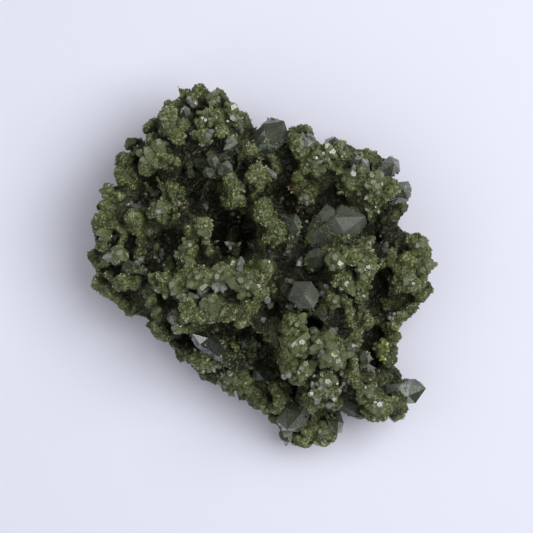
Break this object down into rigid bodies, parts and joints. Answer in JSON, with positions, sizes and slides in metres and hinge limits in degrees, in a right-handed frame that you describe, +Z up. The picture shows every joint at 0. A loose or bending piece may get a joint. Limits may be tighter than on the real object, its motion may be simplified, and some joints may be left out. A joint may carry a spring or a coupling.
{
  "type": "epidote cluster",
  "caption": "Hand-sized knobbly cluster of moss-fine green epidote with glassy quartz points seated in it, resting on a flat broken base.",
  "frame": {"origin": "middle of the box's underside, on the flat broken base", "axes": "+Z up, away from the base; +Y to the knobbly crown side, +X to the side with the clear quartz tip"},
  "size_m": [0.0974, 0.103, 0.0533],
  "materials": {
    "epidote": "rough, granular",
    "quartz": "clear to smoky, glassy faces"
  },
  "bodies": {
    "root": {"epidote_mass": "epidote", "quartz_top_edge": "quartz", "quartz_top_small": "quartz", "quartz_top_right": "quartz", "quartz_right_knob": "quartz", "quartz_right_tip": "quartz", "quartz_chamber": "quartz", "quartz_chamber_left": "quartz", "quartz_striated": "quartz", "quartz_crown_point": "quartz", "quartz_spray": "quartz", "quartz_bottom_large": "quartz", "quartz_bottom_clear": "quartz", "quartz_bottom_prism": "quartz", "quartz_lower_right": "quartz", "quartz_blade": "quartz", "quartz_dark_pyramid": "quartz", "quartz_dark_glass": "quartz", "quartz_white_cluster": "quartz", "quartz_left_striated": "quartz", "quartz_upper_grey": "quartz"}
  },
  "joints": []
}
